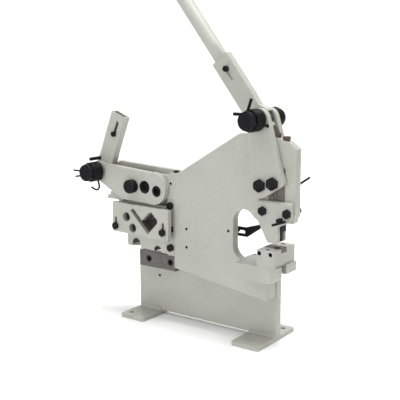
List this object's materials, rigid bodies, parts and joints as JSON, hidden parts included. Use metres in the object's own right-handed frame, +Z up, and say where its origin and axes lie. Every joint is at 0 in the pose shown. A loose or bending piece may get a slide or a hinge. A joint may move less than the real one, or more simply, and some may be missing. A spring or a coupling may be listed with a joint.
{
  "type": "manual ironworker",
  "caption": "Hand-lever ironworker on a plate stand, with a punch station at one end, a bar and angle shear at the other, and a removable tube handle.",
  "frame": {"origin": "floor level, midway between the two floor-bolt holes", "axes": "+X from the shear end to the punch end, +Y away from the front, +Z up"},
  "size_m": [0.6891, 0.194, 1.268],
  "materials": {
    "cream_paint": "semi-gloss powder coat",
    "black_oxide": "black oxide",
    "dark_steel": "ground and oiled",
    "tool_steel": "ground tool steel",
    "brown_steel": "bronzed"
  },
  "bodies": {
    "base": {"foot_left": "cream_paint", "foot_right": "cream_paint", "stand_plate": "cream_paint", "stand_welds": "cream_paint", "rear_plate": "cream_paint", "frame_plate": "cream_paint", "frame_screws": "black_oxide", "shear_gib": "cream_paint", "gib_bolts": "black_oxide", "shear_guide": "cream_paint", "guide_screws": "black_oxide", "lower_blade": "dark_steel", "lower_blade_screws": "black_oxide", "shear_pivot": "black_oxide", "guide_plate_front": "cream_paint", "guide_plate_rear": "cream_paint", "guide_bolts": "black_oxide", "guide_nuts": "black_oxide", "punch_pivot": "black_oxide", "stop_bolts": "brown_steel", "die_bed_front": "cream_paint", "die_bed_rear": "cream_paint", "bed_screws": "black_oxide", "die_block": "cream_paint", "die_screws": "black_oxide", "die_set_screws": "black_oxide", "die": "dark_steel", "frame_plug": "black_oxide", "stop_rod": "black_oxide", "gauge_screw": "black_oxide"},
    "punch_arm": {"punch_arm_front": "cream_paint", "punch_arm_rear": "cream_paint", "ram_pin": "black_oxide", "punch_shaft": "dark_steel", "punch_spring_front": "black_oxide", "punch_spring_rear": "black_oxide", "punch_spring_caps": "black_oxide"},
    "punch_lever": {"punch_lever": "cream_paint", "punch_socket_bolt": "black_oxide", "punch_handle": "cream_paint"},
    "punch_ram": {"punch_ram": "dark_steel", "ram_plug": "dark_steel", "punch_holder": "black_oxide", "punch": "tool_steel"},
    "shear_arm": {"shear_arm_front": "cream_paint", "shear_arm_rear": "cream_paint", "shear_stud": "black_oxide", "shear_shaft": "dark_steel", "shear_spring": "black_oxide", "shear_spring_cap": "black_oxide"},
    "shear_lever": {"shear_lever": "cream_paint", "shear_socket_bolt": "black_oxide", "shear_lever_pin": "black_oxide"},
    "shear_slide": {"shear_slide": "cream_paint", "angle_blade": "dark_steel", "angle_block": "cream_paint", "angle_bolts": "black_oxide"},
    "stripper_screw": {"stripper_screw": "black_oxide"},
    "gauge": {"gauge_arm": "black_oxide"}
  },
  "joints": [
    {"name": "punch_lever_pivot", "type": "hinge", "parent": "punch_arm", "child": "punch_lever", "pos_m": [0.188, -0.0355, 0.525], "axis": [0, 1, 0], "range_deg": [0, 75], "stiffness_Nm_per_rad": 9, "springref_deg": -22.92},
    {"name": "punch_arm_pivot", "type": "hinge", "parent": "base", "child": "punch_arm", "pos_m": [0.1964, -0.0355, 0.38], "axis": [0, 1, 0], "range_deg": [0, 13.75]},
    {"name": "punch_ram_slide", "type": "slide", "parent": "base", "child": "punch_ram", "axis": [0, 0, -1], "range_m": [0, 0.00796]},
    {"name": "shear_lever_pivot", "type": "hinge", "parent": "shear_arm", "child": "shear_lever", "pos_m": [-0.296, -0.0355, 0.371], "axis": [0, -1, 0], "range_deg": [0, 70], "stiffness_Nm_per_rad": 3, "springref_deg": -34.38},
    {"name": "shear_arm_pivot", "type": "hinge", "parent": "base", "child": "shear_arm", "pos_m": [-0.102, -0.0355, 0.3365], "axis": [0, -1, 0], "range_deg": [0, 8.05]},
    {"name": "shear_slide_slide", "type": "slide", "parent": "base", "child": "shear_slide", "axis": [0, 0, -1], "range_m": [0, 0.01068]},
    {"name": "stripper_screw_turn", "type": "hinge", "parent": "base", "child": "stripper_screw", "pos_m": [0.25, -0.0535, 0.308], "axis": [0, 1, 0], "continuous": true},
    {"name": "gauge_slide", "type": "slide", "parent": "base", "child": "gauge", "axis": [1, 0, 0], "range_m": [-0.025, 0.018]}
  ],
  "couplings": [
    {"joint": "punch_arm_pivot", "follows": "punch_lever_pivot", "ratio": 0.18267},
    {"joint": "punch_ram_slide", "follows": "punch_lever_pivot", "m_per_rad": 0.0060504},
    {"joint": "shear_arm_pivot", "follows": "shear_lever_pivot", "ratio": 0.11429},
    {"joint": "shear_slide_slide", "follows": "shear_lever_pivot", "m_per_rad": 0.008709}
  ]
}
